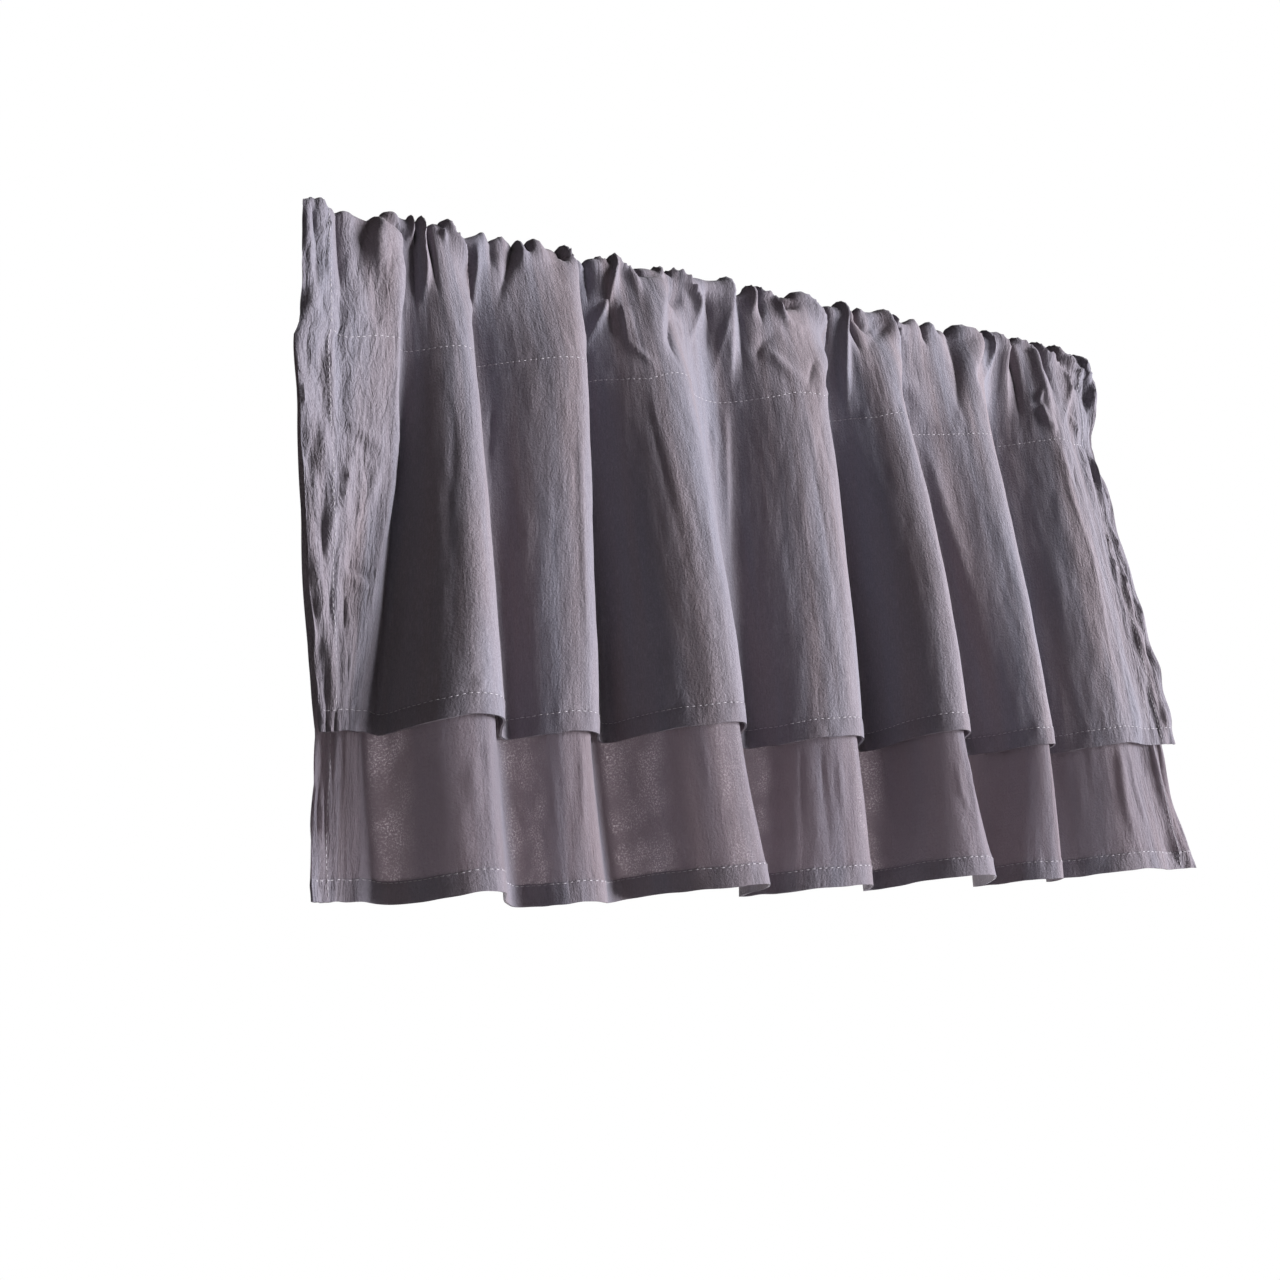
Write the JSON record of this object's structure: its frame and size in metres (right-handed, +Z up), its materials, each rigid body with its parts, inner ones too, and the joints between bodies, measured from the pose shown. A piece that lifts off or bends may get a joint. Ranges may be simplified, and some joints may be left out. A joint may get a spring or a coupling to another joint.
{
  "type": "cafe curtain",
  "caption": "Gathered two-tier cafe curtain for a small window: a short front tier over a longer back tier, hung from a stitched rod pocket.",
  "frame": {"origin": "middle of the line where the top of the rod pocket bears on the rod", "axes": "X along the rod to the viewer's right, Y from the viewer toward the window, Z up"},
  "size_m": [0.6871, 0.0832, 0.4587],
  "materials": {
    "pocket_cloth": "matt grey-mauve crinkled cotton, gathered",
    "front_cloth": "matt grey-mauve crinkled cotton, two layers deep with the tier behind",
    "back_cloth": "matt grey-mauve crinkled cotton, slightly sheer as a single layer"
  },
  "bodies": {
    "root": {"rod_pocket": "pocket_cloth", "front_tier": "front_cloth", "back_tier": "back_cloth"}
  },
  "joints": []
}
